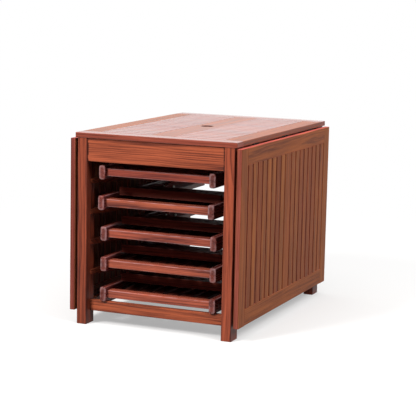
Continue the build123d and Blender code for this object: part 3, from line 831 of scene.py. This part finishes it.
# Triangles from the middle point to the first ring, quads between the rings, and a face below
def screwFaces():
    around, rings = screwLook["around"], screwLook["rings"]
    ids = 1 + np.arange((rings - 1) * around).reshape(rings - 1, around)
    beside = np.roll(ids, -1, axis=1)
    fan = np.stack([np.zeros(around, int), ids[0], beside[0]], axis=1)
    quads = np.stack([ids[:-1], ids[1:], beside[1:], beside[:-1]], axis=2).reshape(-1, 4)
    return [fan, quads, ids[-1:, ::-1]]


def makeScrews(name, body, spots, normal):
    head = screwHead(normal)
    points, faces = [], []
    for index, spot in enumerate(spots):
        points.append(head + np.array(spot))
        for kind in screwFaces():
            faces += (kind + index * len(head)).tolist()
    mesh = bpy.data.meshes.new(name)
    mesh.from_pydata(np.concatenate(points), [], faces)
    smoothMesh(mesh, screwLook["sharpAngle"])
    return installed(mesh, body, "plated_steel")


# Each flap has three screws: the middle one nearer to the pin than the other two
hingeScrews = {"hingeY": (-0.310, 0.0, 0.310), "stepY": (-0.021, 0.0, 0.021), "pinX": 0.329, "pinZ": 0.719,
               "middleIn": 0.010, "outerIn": 0.018, "tableFaceZ": 0.7181, "leafFaceX": 0.3281}
stayScrews = {"leafX": 0.3275, "leafYZ": ((0.438, 0.347), (0.452, 0.331)),
              "legY": 0.4265, "legXZ": ((0.289, 0.477), (0.299, 0.463))}


def flapScrews():
    look = hingeScrews
    return [(y + step, look["outerIn"] if step else look["middleIn"])
            for y in look["hingeY"] for step in look["stepY"]]


def makeAllScrews():
    hinge, stay = hingeScrews, stayScrews
    spots = [(sign * (hinge["pinX"] - far), y, hinge["tableFaceZ"]) for sign in (1, -1)
             for y, far in flapScrews()]
    makeScrews("hinge_table_screws", "root", spots, (0, 0, -1))
    for side, sign in (("right", 1), ("left", -1)):
        spots = [(sign * hinge["leafFaceX"], y, hinge["pinZ"] - far) for y, far in flapScrews()]
        makeScrews(f"hinge_leaf_screws_{side}", f"leaf_{side}", spots, (-sign, 0, 0))
        spots = [(sign * stay["leafX"], end * y, z) for end in (1, -1) for y, z in stay["leafYZ"]]
        makeScrews(f"stay_leaf_screws_{side}", f"leaf_{side}", spots, (-sign, 0, 0))
    for row, end in (("rear", 1), ("front", -1)):
        spots = [(sign * x, end * stay["legY"], z) for sign in (1, -1) for x, z in stay["legXZ"]]
        makeScrews(f"stay_leg_screws_{row}", "root", spots, (0, -end, 0))


makeAllScrews()
print("screws made")

# Floor, light and camera
floorLook = {"half": 60.0, "color": (0.86, 0.85, 0.84), "groundColor": (0.06, 0.055, 0.05),
             "shade": 0.60, "fadeFrom": 0.5, "fadeTo": 3.0}
skyLook = {"groundLight": 0.012, "skyLight": 1.38, "skyFrom": 0.30}
lamps = {
    "key": {"at": (-2.2, -4.5, 4.1), "aim": (0, -0.2, 0.40), "size": 1.8, "power": 318.0},
    "fill": {"at": (4.4, -1.6, 4.6), "aim": (0, 0, 0.40), "size": 3.0, "power": 250.0},
}
cameraLook = {"at": (2.256, -5.310, 1.316), "yaw": -22.92, "pitch": 8.94, "roll": 1.21, "lens": 125.2,
              "sensor": 36.0, "clipEnd": 200.0}


# One for rays that the eye sees straight, mirrored or through glass, nothing for light on surfaces
def seenRays(tree, rays):
    seen = maths(tree, "MAXIMUM", rays.outputs["Is Camera Ray"], rays.outputs["Is Glossy Ray"])
    return maths(tree, "MAXIMUM", seen, rays.outputs["Is Transmission Ray"])


def mixedShader(tree, share, first, second):
    node = place(tree, "ShaderNodeMixShader")
    for socket, value in zip(node.inputs, (share, first, second)):
        plug(tree, socket, value)
    return node.outputs[0]


# The floor is pale with a soft shadow near the object, and turns to the white of the background with distance
def makeFloor():
    look = floorLook
    half = look["half"]
    mesh = bpy.data.meshes.new("floor")
    corners = [(-half, -half, 0), (half, -half, 0), (half, half, 0), (-half, half, 0)]
    mesh.from_pydata(corners, [], [(0, 1, 2, 3)])
    floor = bpy.data.objects.new("floor", mesh)
    scene.collection.objects.link(floor)
    material, tree = newMaterial("pale_floor")
    tree.nodes.clear()
    rays = place(tree, "ShaderNodeLightPath")
    diffuse = place(tree, "ShaderNodeBsdfDiffuse")
    bounced = rays.outputs["Is Diffuse Ray"]
    color = blended(tree, bounced, rgba(look["color"]), rgba(look["groundColor"]))
    plug(tree, diffuse.inputs["Color"], color)
    away = vectorLength(tree, coordinates(tree, "Object"))
    fade = spread(tree, away, look["fadeFrom"], look["fadeTo"], 1 - look["shade"], 1.0)
    white = place(tree, "ShaderNodeEmission").outputs[0]
    above = mixedShader(tree, times(tree, seenRays(tree, rays), fade), diffuse.outputs[0], white)
    # seen from below, the floor lets the camera through to the underside of the table
    below = place(tree, "ShaderNodeNewGeometry").outputs["Backfacing"]
    clear = place(tree, "ShaderNodeBsdfTransparent").outputs[0]
    surface = mixedShader(tree, below, above, clear)
    plug(tree, place(tree, "ShaderNodeOutputMaterial").inputs["Surface"], surface)
    mesh.materials.append(material)


# White to the eye. Its light comes mostly from overhead: strength = ground light at the horizon, up to sky
# light at the zenith.
def makeWorld():
    world = bpy.data.worlds.new("studio")
    scene.world = world
    world.use_nodes = True
    tree = world.node_tree
    background = tree.nodes["Background"]
    background.inputs["Color"].default_value = (1, 1, 1, 1)
    seen = seenRays(tree, place(tree, "ShaderNodeLightPath"))
    height = separated(tree, coordinates(tree, "Generated"))[2]
    sky = spread(tree, height, skyLook["skyFrom"], 1.0, skyLook["groundLight"], skyLook["skyLight"])
    plug(tree, background.inputs["Strength"], maths(tree, "MAXIMUM", seen, sky))


def setPlace(holder, across, up, back, at):
    matrix = np.eye(4)
    matrix[:3] = np.stack([across, up, back, at], axis=1)
    holder.matrix_world = Matrix(matrix.tolist())


def makeLamp(name, look):
    lamp = bpy.data.lights.new(name, "AREA")
    lamp.shape = "DISK"
    lamp.size = look["size"]
    lamp.energy = look["power"]
    holder = bpy.data.objects.new(name, lamp)
    # the polished top would mirror the lamp to a camera behind the table
    holder.visible_glossy = False
    scene.collection.objects.link(holder)
    at = np.array(look["at"], float)
    back = at - np.array(look["aim"], float)
    back /= np.linalg.norm(back)
    across = np.cross([0, 0, 1.0], back)
    across /= np.linalg.norm(across)
    setPlace(holder, across, np.cross(back, across), back, at)


# The camera was fitted to the corners of the top, legs and leaf in the photograph
def makeCamera():
    look = cameraLook
    yaw, pitch, roll = (math.radians(look[key]) for key in ("yaw", "pitch", "roll"))
    level = math.cos(pitch)
    ahead = np.array([math.sin(yaw) * level, math.cos(yaw) * level, -math.sin(pitch)])
    right = np.cross(ahead, [0, 0, 1.0])
    right /= np.linalg.norm(right)
    up = np.cross(right, ahead)
    across = right * math.cos(roll) + up * math.sin(roll)
    upward = -right * math.sin(roll) + up * math.cos(roll)
    data = bpy.data.cameras.new("camera")
    data.sensor_width = look["sensor"]
    data.lens = look["lens"]
    data.clip_end = look["clipEnd"]
    camera = bpy.data.objects.new("camera", data)
    scene.collection.objects.link(camera)
    setPlace(camera, across, upward, -ahead, np.array(look["at"]))
    scene.camera = camera


makeFloor()
makeWorld()
for name, look in lamps.items():
    makeLamp(name, look)
makeCamera()
scene.view_settings.view_transform = "Standard"
print("studio made")
